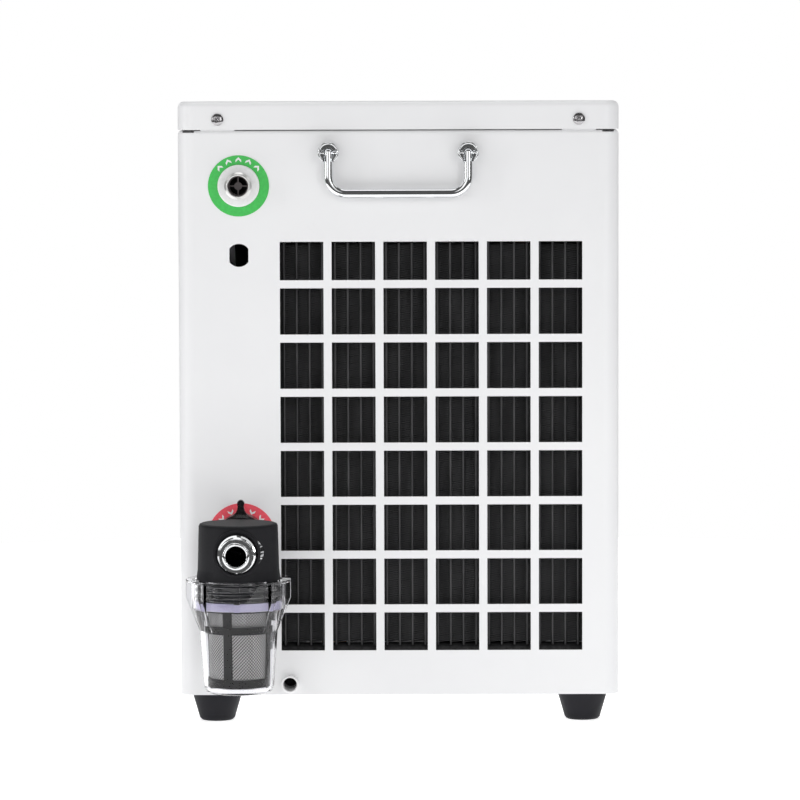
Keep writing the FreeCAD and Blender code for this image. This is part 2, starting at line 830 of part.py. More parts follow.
def bowl_gusset():
    """An upright web from the rim down to a point at the foot of the cone, with rounded outer edges."""
    out = rim_diameter / 2 - 0.3
    middle = neck_bore + bowl_wall / 2
    root = bowl_diameter / 2 - bowl_wall / 4
    top = bowl_rim_height - rim_thickness / 2
    outline = [(root, cone_bottom - gusset_tip), (out, bowl_rim_height - gusset_straight), (out, top),
               (middle, top), (middle, bowl_rim_height - neck_height), (root, cone_bottom)]
    points = [V(r, -gusset_width / 2, z) for r, z in outline]
    web = Part.Face(Part.makePolygon(points + points[:1])).extrude(V(0, gusset_width, 0))
    edges = []
    for edge in web.Edges:
        box = edge.BoundBox
        if box.YLength < 1e-6 and box.XMax > out - 1e-6 and box.ZLength > 1:
            edges.append(edge)
    return web.makeFillet(gusset_edge, edges)


def bowl_gasket():
    inner = head_bore() + 1.5
    start = (inlet_x, strainer_y, gasket_bottom + 0.2)
    return tube(start, (0, 0, 1), skirt_radius, inner, gasket_height - 0.4)


def basket_top():
    return gasket_top - 1.0


def basket_radius(z):
    """The basket tapers from its mouth to its foot."""
    share = (z - basket_bottom) / (basket_top() - basket_bottom)
    return (basket_foot_diameter + share * (basket_top_diameter - basket_foot_diameter)) / 2


def basket_band(z0, z1, proud):
    """A tapered ring of the basket between two heights."""
    low, high = basket_radius(z0), basket_radius(z1)
    profile = [(low - basket_wall, z0), (low + proud, z0), (high + proud, z1), (high - basket_wall, z1)]
    return spin(profile, (inlet_x, strainer_y, 0))


def basket_frame():
    """Basket moulding: four bars between three rings, closed at the bottom, with a lip at the mouth."""
    top = basket_top()
    lip = gasket_bottom + 1.0
    centre = (inlet_x, strainer_y, basket_bottom)
    pieces = [basket_band(top - basket_ring, top, 0.0)]
    pieces.append(basket_band(basket_mid_ring, basket_mid_ring + basket_ring, 0.9))
    pieces.append(basket_band(basket_bottom, basket_bottom + basket_ring, 0.0))
    pieces.append(rod(centre, (0, 0, 1), basket_foot_diameter / 2, basket_wall))
    pieces.append(tube((inlet_x, strainer_y, lip), (0, 0, 1), head_bore() + 1.3,
                       basket_radius(lip) - 0.6, 2.0))
    wall = basket_band(basket_bottom, top, 0.0)
    for number in range(4):
        bar = block(0, head_bore(), -basket_bar / 2, basket_bar / 2, basket_bottom, top)
        bar.rotate(V(0, 0, 0), V(0, 0, 1), basket_phase + 90 * number - 90)
        bar.translate(V(inlet_x, strainer_y, 0))
        pieces.append(wall.common(bar))
    return fuse_all(pieces)


def basket_mesh():
    """Woven sleeve inside the basket's bars, a plain wall here."""
    low, high = basket_bottom + basket_wall + 0.1, basket_top() - 0.1
    out_low = basket_radius(low) - basket_wall - 0.05
    out_high = basket_radius(high) - basket_wall - 0.05
    profile = [(out_low - mesh_wall, low), (out_low, low), (out_high, high), (out_high - mesh_wall, high)]
    return spin(profile, (inlet_x, strainer_y, 0))


# Drain

def drain_spigot():
    """Hose spigot with a shoulder against the panel."""
    r, body, bore = drain_diameter / 2, drain_body / 2, drain_bore / 2
    profile = [(bore, -drain_inside), (body, -drain_inside), (body, 0), (r, 0), (r, drain_reach - 0.7),
               (r - 0.7, drain_reach), (bore + 0.5, drain_reach), (bore, drain_reach - 0.6)]
    return spin(profile, (drain_x, front, drain_height), (0, -1, 0))


# Condenser

core_front = front + condenser_gap
core_left = fan_centre_x - tube_pitch * (tube_count - 1) / 2
core_right = fan_centre_x + tube_pitch * (tube_count - 1) / 2
header_y = core_front + core_depth / 2


def condenser_tubes():
    tubes = []
    r = tube_thickness / 2
    height = core_top - core_bottom
    y0, y1 = core_front + r, core_front + core_depth - r
    for number in range(tube_count):
        x = core_left + number * tube_pitch
        flat = block(x - r, x + r, y0, y1, core_bottom, core_top)
        edges = [rod((x, y, core_bottom), (0, 0, 1), r, height) for y in (y0, y1)]
        tubes.append(fuse_all([flat] + edges))
    return tubes


def condenser_fins():
    """One folded fin pack in each gap between two tubes."""
    packs = []
    y0, y1 = core_front + fin_inset, core_front + core_depth - fin_inset
    for number in range(tube_count - 1):
        x0 = core_left + number * tube_pitch + tube_thickness / 2
        x1 = x0 + tube_pitch - tube_thickness
        packs.append(block(x0, x1, y0, y1, core_bottom + fin_end_gap, core_top - fin_end_gap))
    return packs


def condenser_headers():
    """Round header pipes above and below the core, joined by the end plates that carry it."""
    r = header_diameter / 2
    reach = r - 1.2
    left = core_left - tube_pitch
    length = core_right - core_left + 2 * tube_pitch
    lower = rod((left, header_y, core_bottom - reach), (1, 0, 0), r, length)
    upper = rod((left, header_y, core_top + reach), (1, 0, 0), r, length)
    slots = []
    for tube_shape in condenser_tubes():
        box = tube_shape.BoundBox
        for z in (box.ZMin, box.ZMax - tube_socket):
            slots.append(block(box.XMin, box.XMax, box.YMin, box.YMax, z, z + tube_socket))
    pieces = [lower, upper]
    for x in (left, left + length - bracket_sheet):
        pieces.append(block(x, x + bracket_sheet, core_front, core_front + core_depth,
                            pan_top, core_top + reach + r))
    return cut_all(fuse_all(pieces), slots)


# Fan

rotor_front = rear - rotor_inset - rotor_depth


def fan_guard():
    """Finger guard: flat rings on radial arms, with a hub plate that carries the motor."""
    w = guard_wire
    pieces = [tube((fan_centre_x, rear, fan_height), (0, 1, 0), guard_hub / 2, 9, w)]
    outer = guard_screw_circle / 2 + 6
    for number in range(guard_rings):
        r = fan_opening / 2 + 3 - number * guard_pitch
        if r > guard_hub / 2 + w:
            pieces.append(tube((fan_centre_x, rear + w, fan_height), (0, 1, 0), r, r - w, w))
    for number in range(guard_arms):
        reach = outer if number % 2 else fan_opening / 2 + 3
        arm = block(guard_hub / 2 - 2, reach, rear, rear + w, -w, w)
        arm.rotate(V(0, 0, 0), V(0, 1, 0), 360 / guard_arms * number)
        arm.translate(V(fan_centre_x, 0, fan_height))
        pieces.append(arm)
    holes = []
    for x, z in guard_screw_places():
        holes.append(rod((x, rear - 1, z), (0, 1, 0), lid_screw_shank / 2, w + 2))
    return cut_all(fuse_all(pieces), holes)


def panel_screws():
    """Like pan-head screws that hold the lid and the fan guard."""
    screw = pan_head_screw(lid_screw_head, lid_screw_shank, 2 * sheet + panel_seam + 2)
    screws = []
    for x in (-lid_screw_x, lid_screw_x):
        screws.append(place(screw, (x, front, lid_screw_height), (0, -1, 0)))
        screws.append(place(screw, (x, rear, lid_screw_height), (0, 1, 0)))
    for x, z in guard_screw_places():
        screws.append(place(screw, (x, rear + guard_wire, z), (0, 1, 0)))
    return screws


def fan_motor():
    """Motor can on the guard's hub plate, with the shaft that the rotor turns on."""
    r = motor_diameter / 2
    profile = [(0, 0), (r - 3, 0), (r, 3), (r, motor_depth), (0, motor_depth)]
    can = spin(profile, (fan_centre_x, rear - motor_depth, fan_height), (0, 1, 0))
    length = rotor_inset + rotor_depth - motor_depth - 1
    shaft = rod((fan_centre_x, rear - motor_depth, fan_height), (0, -1, 0), shaft_diameter / 2, length)
    return fuse_all([can, shaft])


def fan_blade():
    """A twisted blade, lofted through three thin sections from hub to tip."""
    sections = []
    for share, chord, pitch in ((0.0, 46.0, 42.0), (0.5, 62.0, 31.0), (1.0, 78.0, 23.0)):
        radius = rotor_hub / 2 - 4 + share * (rotor_diameter / 2 - rotor_hub / 2 + 4)
        half = min(chord / 2, (rotor_depth / 2 - 1) / math.sin(math.radians(pitch)))
        thin = blade_thickness / 2
        corners = [(-half, -thin), (half, -thin), (half, thin), (-half, thin)]
        c, s = math.cos(math.radians(pitch)), math.sin(math.radians(pitch))
        points = [V(a * c - b * s, a * s + b * c, radius) for a, b in corners]
        sections.append(Part.makePolygon(points + points[:1]))
    blade = Part.makeLoft(sections, True, False)
    return blade.common(rod((0, -rotor_depth, 0), (0, 1, 0), rotor_diameter / 2, 2 * rotor_depth))


def fan_rotor():
    """Hub cup on the motor's shaft, with its blades."""
    middle = rotor_front + rotor_depth / 2
    r, bore, boss = rotor_hub / 2, shaft_diameter / 2 + running_gap, shaft_diameter / 2 + 5
    profile = [(bore, 0), (r - 4, 0), (r, 4), (r, rotor_depth - 2), (r - 3, rotor_depth - 2),
               (r - 3, 5), (boss, 5), (boss, rotor_depth - 4), (bore, rotor_depth - 4)]
    hub = spin(profile, (fan_centre_x, rotor_front, fan_height), (0, 1, 0))
    inside = rod((fan_centre_x, rotor_front - 5, fan_height), (0, 1, 0), r - 2.5, rotor_depth + 10)
    blades = []
    for number in range(blade_count):
        blade = fan_blade()
        blade.rotate(V(0, 0, 0), V(0, 1, 0), 360 / blade_count * number)
        blade.translate(V(fan_centre_x, middle, fan_height))
        blades.append(blade.cut(inside))
    return fuse_all([hub] + blades)


# Refrigeration and water circuit

def compressor_feet_places():
    r = compressor_foot_circle / 2
    turns = [math.radians(angle) for angle in compressor_foot_angles]
    return [(compressor_x + r * math.cos(turn), compressor_y + r * math.sin(turn)) for turn in turns]


def compressor():
    """Domed can on three feet, with a socket for each refrigerant line on top."""
    r = compressor_diameter / 2
    bottom = pan_top + grommet_height
    dome = compressor_dome
    profile = [(0, 0), (r * 0.7, 2), (r - 3, dome * 0.5), (r, dome), (r, compressor_height - dome),
               (r - 4, compressor_height - dome * 0.45), (r * 0.66, compressor_height - 3),
               (0, compressor_height)]
    pieces = [spin(profile, (compressor_x, compressor_y, bottom))]
    for x in (-compressor_port, compressor_port):
        pieces.append(rod((compressor_x + x, compressor_y, compressor_top - dome), (0, 0, 1),
                          refrigerant_tube / 2 + 2, dome))
    for angle in compressor_foot_angles:
        plate = block(r * 0.6, compressor_foot_circle / 2 + 12, -14, 14, bottom, bottom + 3)
        plate.rotate(V(0, 0, 0), V(0, 0, 1), angle)
        plate.translate(V(compressor_x, compressor_y, 0))
        pieces.append(plate)
    return fuse_all(pieces)


def compressor_grommets():
    r = grommet_diameter / 2
    return [rod((x, y, pan_top), (0, 0, 1), r, grommet_height) for x, y in compressor_feet_places()]


vessel_front = vessel_y - vessel_diameter / 2
pump_port_y = pump_y + pump_depth / 2


def evaporator_vessel():
    """Upright insulated vessel with its cap, and a water port high and low at the front."""
    r = vessel_diameter / 2
    lip = r + vessel_lip
    top = vessel_height + vessel_cap_height
    profile = [(0, 0), (r, 0), (r, vessel_height), (lip, vessel_height), (lip, top - 6),
               (lip - 8, top), (0, top)]
    pieces = [spin(profile, (vessel_x, vessel_y, pan_top))]
    for z in (low_port, vessel_high_port):
        pieces.append(rod((vessel_x, vessel_y, z), (0, -1, 0), port_boss, r + port_boss_reach))
    return fuse_all(pieces)


def pump_housing():
    r = pump_diameter / 2
    volute = rod((inlet_x, pump_y, pump_height), (0, 1, 0), r, pump_depth)
    suction = rod((inlet_x, pump_y - pump_nose, pump_height), (0, 1, 0), port_boss, pump_nose + 2)
    discharge = rod((inlet_x, pump_port_y, pump_height), (0, 0, 1), port_boss, r + port_boss_reach)
    drain = rod((inlet_x, pump_port_y, drain_height + 2.0), (1, 0, 0), 8.0, pump_drain_reach)
    half = pump_foot_width / 2
    web = block(inlet_x - half, inlet_x + half, pump_y + 6, pump_y + pump_depth - 6, pan_top, pump_height)
    return fuse_all([volute, suction, discharge, drain, web])


def pump_motor():
    r, length, edge = pump_motor_diameter / 2, pump_motor_length, 5
    y = pump_y + pump_depth
    profile = [(0, 0), (r, 0), (r, length - edge), (r - edge, length), (0, length)]
    can = spin(profile, (inlet_x, y, pump_height), (0, 1, 0))
    half = motor_foot_width / 2
    foot = block(inlet_x - half, inlet_x + half, y + motor_foot_inset, y + length - motor_foot_inset,
                 pan_top, pump_height)
    return fuse_all([can, foot])


def inlet_hose():
    y = front + stub_inside
    low = pump_y - pump_nose
    middle = (y + low) / 2 + 1
    points = [(inlet_x, y, inlet_height), (inlet_x, middle, inlet_height), (inlet_x, middle, pump_height),
              (inlet_x, low, pump_height)]
    return pipe(points, hose_diameter / 2, min(hose_bend, abs(low - middle) - 0.5))


def pump_hose():
    start = pump_height + pump_diameter / 2 + port_boss_reach
    points = [(inlet_x, pump_port_y, start), (inlet_x, pump_port_y, low_port),
              (vessel_x, vessel_front - port_boss_reach, low_port)]
    return pipe(points, hose_diameter / 2, hose_bend)


def outlet_hose():
    y = front + stub_inside
    start = vessel_front - port_boss_reach
    points = [(vessel_x, start, vessel_high_port), (vessel_x, vessel_front - 60, vessel_high_port),
              (outlet_x, y + 60, outlet_height), (outlet_x, y, outlet_height)]
    return pipe(points, hose_diameter / 2, hose_bend * 2)


def drain_hose():
    y = front + drain_inside
    z = drain_height + 2.0
    points = [(drain_x, y, drain_height), (drain_x, y + 22, drain_height), (drain_x, y + 40, z),
              (drain_x, pump_port_y, z), (inlet_x + pump_drain_reach, pump_port_y, z)]
    wide = abs(drain_x - inlet_x) - pump_drain_reach
    return pipe(points, drain_body / 2, min(hose_bend, wide - 1.0))


def suction_line():
    x = compressor_x - compressor_port
    z = vessel_high_port - 40
    wall = vessel_x + vessel_diameter / 2
    points = [(wall, vessel_y, z), (wall + 46, vessel_y, z), (wall + 46, compressor_y, z),
              (x, compressor_y, z), (x, compressor_y, compressor_top)]
    return pipe(points, refrigerant_tube / 2, refrigerant_bend)


def discharge_line():
    x = compressor_x + compressor_port
    y = header_y + header_diameter / 2
    z = core_top + header_diameter / 2 - 1.2
    points = [(x, compressor_y, compressor_top), (x, compressor_y, z), (x, y, z)]
    return pipe(points, refrigerant_tube / 2, refrigerant_bend)


def liquid_line():
    """Liquid line along the base, with the filter drier swelling in its long run."""
    x = vessel_x + vessel_diameter / 2 + 26
    z = core_bottom - header_diameter / 2 + 1.2
    start = header_y + header_diameter / 2
    points = [(x, start, z), (x, vessel_y, z), (vessel_x + vessel_diameter / 2, vessel_y, z)]
    line = pipe(points, refrigerant_tube / 2, refrigerant_bend)
    drier = spin([(0, -38), (5, -38), (11, -30), (11, 30), (5, 38), (0, 38)], (x, -60, z), (0, 1, 0))
    return fuse_all([line, drier])


# Electrical parts

def electrical_box():
    x1 = side - sheet
    z1 = body_top - box_top_gap
    box = block(x1 - box_width, x1, box_y - box_depth / 2, box_y + box_depth / 2, z1 - box_height, z1)
    edges = [e for e in box.Edges if e.BoundBox.XMax < x1 - 1 and e.BoundBox.ZMax - e.BoundBox.ZMin > 1]
    return box.makeFillet(4.0, edges)


def button_places():
    x = controller_x - controller_width / 2 + 13
    start = controller_height + button_pitch * 0.5
    return [(x, start), (x + button_pitch, start), (x + button_pitch, start - button_pitch)]


def controller_housing():
    """Panel controller: a thin bezel outside, the body behind it, a window pocket and button bores."""
    y = rear + controller_bezel
    face = centred_block(controller_x, controller_width, rear, y, controller_height, controller_face)
    rim = [e for e in face.Edges if e.BoundBox.YMin > y - 1e-6]
    face = face.makeFillet(1.4, rim)
    body = centred_block(controller_x, controller_width - 2 * controller_lap, rear - controller_depth, rear,
                         controller_height, controller_face - 2 * controller_lap)
    shape = fuse_all([face, body])
    tools = [window_pocket(0.0)]
    for x, z in button_places():
        tools.append(rod((x, y - button_depth, z), (0, 1, 0), button_diameter / 2 + slot_gap * 0.4,
                         button_depth + 1))
    return cut_all(shape, tools)


def window_pocket(gap):
    x = controller_x + controller_width / 2 - window_size_x - 6 + gap
    z = controller_height - window_size_z / 2 + gap
    y = rear + controller_bezel
    return block(x, x + window_size_x - 2 * gap, y - 1.2, y + 0.4 - gap * 2, z, z + window_size_z - 2 * gap)


def panel_button(x, z):
    gap = button_travel + button_float
    y = rear + controller_bezel - button_depth + gap
    r = button_diameter / 2
    length = button_depth - gap + button_proud
    profile = [(0, 0), (r, 0), (r, length - 0.5), (r - 0.5, length), (0, length)]
    return spin(profile, (x, y, z), (0, 1, 0))


def rocker_centre():
    return controller_height - power_face / 2 + 3.0 + rocker_height / 2


def socket_centre():
    return controller_height + power_face / 2 - 4.0 - socket_height / 2


def power_inlet():
    """Combined mains inlet: three-pin socket above, rocker switch below."""
    face = rear + power_flange
    flange = centred_block(power_x, power_width, rear, face, controller_height, power_face)
    rim = [e for e in flange.Edges if e.BoundBox.YMin > face - 1e-6]
    flange = flange.makeFillet(1.2, rim)
    body = centred_block(power_x, power_width - 2 * power_lap, rear - power_depth, rear,
                         controller_height, power_face - 2 * power_lap)
    shape = fuse_all([flange, body])
    z = socket_centre()
    pocket = centred_block(power_x, socket_width, face - socket_depth, face + 1, z, socket_height)
    low = [e for e in pocket.Edges if e.BoundBox.ZMax < z and e.BoundBox.YMax - e.BoundBox.YMin > 5]
    pocket = pocket.makeChamfer(4.5, low)
    z = rocker_centre()
    well = centred_block(power_x, rocker_width + 2 * rocker_gap, rear - 7.5, face + 1,
                         z, rocker_height + 2 * rocker_gap)
    axle = rod((power_x - rocker_width / 2 - 2, rear - 0.5, z), (1, 0, 0), 1.5 + running_gap,
               rocker_width + 4)
    return cut_all(shape, [pocket, well, axle])


def power_pins():
    """Two outer pins below and the earth pin above them, standing on the socket's floor."""
    z = socket_centre()
    floor = rear + power_flange - socket_depth
    pins = []
    for x, rise in ((-7.0, -1.5), (7.0, -1.5), (0.0, 2.5)):
        pins.append(centred_block(power_x + x, pin_width, floor, rear - 2.0, z + rise, pin_height))
    return pins


def rocker_switch():
    """Rocker: a shallow vee face on an axle, tilted to one side at rest."""
    zr = rocker_centre()
    half = rocker_height / 2 - 0.4
    outline = [(-half, -1.0), (-half, 2.2), (0, 1.4), (half, 2.2), (half, -1.0), (3.0, -4.5), (-3.0, -4.5)]
    points = [V(power_x - rocker_width / 2, rear + 0.2 + y, zr + z) for z, y in outline]
    shape = Part.Face(Part.makePolygon(points + points[:1])).extrude(V(rocker_width, 0, 0))
    axle = rod((power_x - rocker_width / 2 - 1.6, rear - 0.5, zr), (1, 0, 0), 1.5, rocker_width + 3.2)
    shape = fuse_all([shape, axle])
    shape.rotate(V(power_x, rear - 0.5, zr), V(1, 0, 0), rocker_swing)
    return shape


# Everything

save("base_pan", base_pan())
save("connection_panel", connection_panel())
save("fan_panel", fan_panel())
save("left_side_panel", side_panel(-1))
save("right_side_panel", side_panel(1))
save("top_lid", top_lid())
feet = ("front_left_foot", "front_right_foot", "rear_left_foot", "rear_right_foot")
for name, (x, y) in zip(feet, foot_places()):
    save(name, rubber_foot(x, y))
save("foot_bolts", foot_bolts())

ferrules = [ferrule(x) for x in (-handle_span / 2, handle_span / 2)]
pins = [pivot_pin_at(x) for x in (-handle_span / 2, handle_span / 2)]
save("handle_ferrules", ferrules + [turn_half(f) for f in ferrules])
save("handle_pins", pins + [turn_half(p) for p in pins])
save("front_handle", drop_handle())
save("rear_handle", turn_half(drop_handle()))

save("outlet_label", ring_label(outlet_x, outlet_height, label_diameter))
save("outlet_flange", port_flange(outlet_x, outlet_height, outlet_body))
save("outlet_stub", outlet_stub())
save("outlet_spider", outlet_spider())
backnuts = [backnut(outlet_x, outlet_height, outlet_body), backnut(inlet_x, inlet_height, inlet_thread)]
save("port_backnuts", backnuts)

save("inlet_label", ring_label(inlet_x, inlet_height, inlet_label_diameter))
save("inlet_flange", port_flange(inlet_x, inlet_height, inlet_thread))
save("inlet_stub", inlet_stub())
save("union_nut", union_nut())
save("strainer_tail", strainer_tail())
save("strainer_head", strainer_head())
save("strainer_nipple", strainer_nipple())
save("strainer_bowl", strainer_bowl())
save("bowl_gasket", bowl_gasket())
save("basket_frame", basket_frame())
save("basket_mesh", basket_mesh())
save("drain_spigot", drain_spigot())

save("condenser_tubes", condenser_tubes())
save("condenser_fins", condenser_fins())
save("condenser_headers", condenser_headers())

save("fan_guard", fan_guard())
save("panel_screws", panel_screws())
save("fan_motor", fan_motor())
save("fan_rotor", fan_rotor())

save("compressor", compressor())
save("compressor_grommets", compressor_grommets())
save("evaporator_vessel", evaporator_vessel())
save("pump_housing", pump_housing())
save("pump_motor", pump_motor())
save("inlet_hose", inlet_hose())
save("pump_hose", pump_hose())
save("outlet_hose", outlet_hose())
save("drain_hose", drain_hose())
save("suction_line", suction_line())
save("discharge_line", discharge_line())
save("liquid_line", liquid_line())

save("electrical_box", electrical_box())
save("controller_housing", controller_housing())
save("controller_window", window_pocket(0.05))
for name, (x, z) in zip(("power_button", "up_button", "down_button"), button_places()):
    save(name, panel_button(x, z))
save("power_inlet", power_inlet())
save("power_pins", power_pins())
save("rocker_switch", rocker_switch())
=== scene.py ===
import bmesh
import bpy
import json
import math
from mathutils import Euler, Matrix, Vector


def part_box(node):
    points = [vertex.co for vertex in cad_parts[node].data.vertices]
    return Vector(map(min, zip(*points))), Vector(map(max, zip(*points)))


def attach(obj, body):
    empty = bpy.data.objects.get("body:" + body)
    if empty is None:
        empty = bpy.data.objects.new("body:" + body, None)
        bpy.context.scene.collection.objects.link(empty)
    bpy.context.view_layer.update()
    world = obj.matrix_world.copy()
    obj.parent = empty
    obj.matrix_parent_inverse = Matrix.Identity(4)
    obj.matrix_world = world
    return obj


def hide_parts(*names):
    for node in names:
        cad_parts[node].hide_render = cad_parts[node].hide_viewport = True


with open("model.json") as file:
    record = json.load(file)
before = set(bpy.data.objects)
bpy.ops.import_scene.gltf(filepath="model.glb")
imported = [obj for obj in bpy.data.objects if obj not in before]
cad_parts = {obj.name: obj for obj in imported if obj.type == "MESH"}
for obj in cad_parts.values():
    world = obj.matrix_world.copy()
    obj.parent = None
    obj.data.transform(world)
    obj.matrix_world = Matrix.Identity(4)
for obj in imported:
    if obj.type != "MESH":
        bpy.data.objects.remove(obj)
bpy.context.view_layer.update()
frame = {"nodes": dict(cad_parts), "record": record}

nodes = frame["nodes"]
slotOf = {entry["node"]: entry["material_slot"] for entry in frame["record"]["subparts"]}
mm = 0.001
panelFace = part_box("connection_panel")[0].y  # the casing's front
print("frame loaded:", len(nodes), "nodes")


# Sockets as plain arithmetic

def isVector(value):
    return value.vector if isinstance(value, Wire) else isinstance(value, (tuple, Vector))


class Wire:
    def __init__(self, tree, socket, vector=False):
        self.tree, self.socket, self.vector = tree, socket, vector

    def calc(self, operation, first, second):
        vector = isVector(first) or isVector(second)
        node = self.tree.nodes.new("ShaderNodeVectorMath" if vector else "ShaderNodeMath")
        node.operation = operation
        plug(self.tree, node.inputs[0], first)
        plug(self.tree, node.inputs[1], second)
        return Wire(self.tree, node.outputs[0], vector)

    def __add__(self, other):
        return self.calc("ADD", self, other)

    def __radd__(self, other):
        return self.calc("ADD", other, self)

    def __sub__(self, other):
        return self.calc("SUBTRACT", self, other)

    def __rsub__(self, other):
        return self.calc("SUBTRACT", other, self)

    def __mul__(self, other):
        return self.calc("MULTIPLY", self, other)

    def __rmul__(self, other):
        return self.calc("MULTIPLY", other, self)

    def __truediv__(self, other):
        return self.calc("DIVIDE", self, other)

    def __rtruediv__(self, other):
        return self.calc("DIVIDE", other, self)


def plug(tree, socket, value):
    if isinstance(value, Wire):
        tree.links.new(value.socket, socket)
    elif hasattr(socket.default_value, "__len__"):
        size = len(socket.default_value)
        values = [*value] if hasattr(value, "__len__") else [value] * size
        socket.default_value = (values + [1.0])[:size]
    else:
        socket.default_value = value


class Finish:  # one finish being mixed, from its coordinates to its Principled surface
    def __init__(self, name):
        self.material = bpy.data.materials.new(name)
        self.material.use_nodes = True
        self.tree = self.material.node_tree
        self.tree.nodes.clear()
        self.place = self.add("ShaderNodeTexCoord", output="Object", vector=True)

    def add(self, kind, settings=None, inputs=None, output=0, vector=False):
        node = self.tree.nodes.new(kind)
        for key, value in (settings or {}).items():
            setattr(node, key, value)
        for key, value in (inputs or {}).items():
            plug(self.tree, node.inputs[key], value)
        return Wire(self.tree, node.outputs[output], vector)

    def noise(self, scale, detail=3.0, roughness=0.5, stretch=(1, 1, 1)):
        inputs = {"Vector": self.place * stretch, "Scale": scale, "Detail": detail, "Roughness": roughness}
        return self.add("ShaderNodeTexNoise", None, inputs)

    def spread(self, value, low, high, outLow=0.0, outHigh=1.0):
        settings = {"interpolation_type": "SMOOTHSTEP"}
        return self.add("ShaderNodeMapRange", settings, {0: value, 1: low, 2: high, 3: outLow, 4: outHigh})

    def blend(self, factor, first, second):
        inputs = {0: factor, 6: first, 7: second}
        return self.add("ShaderNodeMix", {"data_type": "RGBA"}, inputs, output=2)

    def math(self, operation, *values):
        return self.add("ShaderNodeMath", {"operation": operation}, dict(enumerate(values)))

    def axes(self, vector):
        split = self.tree.nodes.new("ShaderNodeSeparateXYZ")
        self.tree.links.new(vector.socket, split.inputs[0])
        return [Wire(self.tree, socket) for socket in split.outputs]

    def bump(self, height, strength=0.3, distance=0.0002):
        inputs = {"Height": height, "Strength": strength, "Distance": distance}
        return self.add("ShaderNodeBump", None, inputs, vector=True)

    def shade(self, **values):
        inputs = {socketName(key): value for key, value in values.items()}
        surface = self.add("ShaderNodeBsdfPrincipled", None, inputs)
        out = self.tree.nodes.new("ShaderNodeOutputMaterial")
        self.tree.links.new(surface.socket, out.inputs[0])
        return self.material


def socketName(word):  # baseColor becomes Base Color
    spaced = "".join(" " + letter if letter.isupper() else letter for letter in word)
    return spaced.title().replace("Ior", "IOR")


def toned(colour, share):  # lighter above 1, darker below it
    return tuple(min(1.0, part * share) for part in colour)


# Finishes

coatSettings = {
    "white": (0.855, 0.857, 0.862),
    "shade": (0.830, 0.832, 0.840),
    "peelScale": 900,
    "peel": 0.10,
    "scuffs": [(-0.089, 0.4045), (0.078, 0.4045), (-0.067, 0.385)],  # x and z on the front panel
    "scuffRadius": 0.006,
    "scuffLean": 0.3,  # makes each mark taller than wide
    "scuffRagged": 0.00002,
    "scuffStrength": 0.14,
    "scuffGrey": (0.62, 0.62, 0.63),
    "frontDepth": 0.001,  # the marks have faded out this far behind the panel's face
    "frontFade": 0.0005,
}


def powderCoat(s=coatSettings):
    f = Finish("powderCoat")
    cloud = f.noise(7, 4, 0.6)
    colour = f.blend(f.spread(cloud, 0.3, 0.7), s["white"], s["shade"])
    x, y, z = f.axes(f.place)
    edge = panelFace + s["frontDepth"]
    onFront = f.spread(y, edge - s["frontFade"], edge, 1.0, 0.0)
    for scuffX, scuffZ in s["scuffs"]:  # faint rub marks where the handle has swung
        across, up = x - scuffX, z - scuffZ
        ragged = f.noise(300, 3) * s["scuffRagged"]
        away = f.math("SQRT", across * across + up * up * s["scuffLean"] + ragged)
        patchy = f.spread(f.noise(500, 4, 0.7), 0.45, 0.62)
        rub = f.spread(away, 0.0, s["scuffRadius"], s["scuffStrength"], 0.0) * patchy
        colour = f.blend(rub * onFront, colour, s["scuffGrey"])
    rough = f.spread(f.noise(60, 3), 0.3, 0.7, 0.34, 0.44)
    return f.shade(baseColor=colour, roughness=rough, coatWeight=0.1, coatRoughness=0.22,
                   normal=f.bump(f.noise(s["peelScale"], 2), s["peel"], 0.00006))


def mouldedPlastic(name, colour, grainScale=700, grain=0.15, rough=(0.35, 0.5), lift=1.25, gloss=0.5):
    f = Finish(name)
    texture = f.noise(grainScale, 4, 0.6)
    mixed = f.blend(f.spread(f.noise(28, 3), 0.3, 0.7), colour, toned(colour, lift))
    return f.shade(baseColor=mixed, roughness=f.spread(texture, 0.3, 0.7, *rough),
                   specularIorLevel=gloss, normal=f.bump(texture, grain, 0.00008))


def brightMetal(name, tone, rough=(0.04, 0.09), stretch=(1, 1, 6)):
    f = Finish(name)
    scuff = f.noise(260, 5, 0.65, stretch)
    mixed = f.blend(f.spread(f.noise(30, 3), 0.35, 0.7), tone, toned(tone, 0.93))
    return f.shade(baseColor=mixed, metallic=1.0, roughness=f.spread(scuff, 0.35, 0.72, *rough),
                   normal=f.bump(scuff, 0.03, 0.00005))


def printedVinyl(name, colour):
    f = Finish(name)
    ink = f.noise(500, 3)
    mixed = f.blend(f.spread(ink, 0.3, 0.7), colour, toned(colour, 0.88))
    return f.shade(baseColor=mixed, roughness=f.spread(ink, 0.3, 0.7, 0.30, 0.42),
                   coatWeight=0.25, coatRoughness=0.2, normal=f.bump(ink, 0.05, 0.00005))


def mouldedRubber(name, colour, gloss=0.25):
    f = Finish(name)
    dust = f.noise(45, 4)
    mixed = f.blend(f.spread(dust, 0.35, 0.75), colour, toned(colour, 1.5))
    return f.shade(baseColor=mixed, roughness=f.spread(dust, 0.3, 0.7, 0.52, 0.7), specularIorLevel=gloss,
                   normal=f.bump(f.noise(1400, 4, 0.7), 0.25, 0.0001))


def clearPolycarbonate():
    f = Finish("clearPolycarbonate")
    ripple = f.noise(60, 2, 0.4, (1, 1, 0.4))
    mixed = f.blend(f.spread(ripple, 0.3, 0.7), (0.985, 0.985, 0.995), (0.965, 0.965, 0.985))
    return f.shade(baseColor=mixed, roughness=0.0, ior=1.28, transmissionWeight=1.0, specularIorLevel=0.2,
                   normal=f.bump(ripple, 0.05, 0.0002))


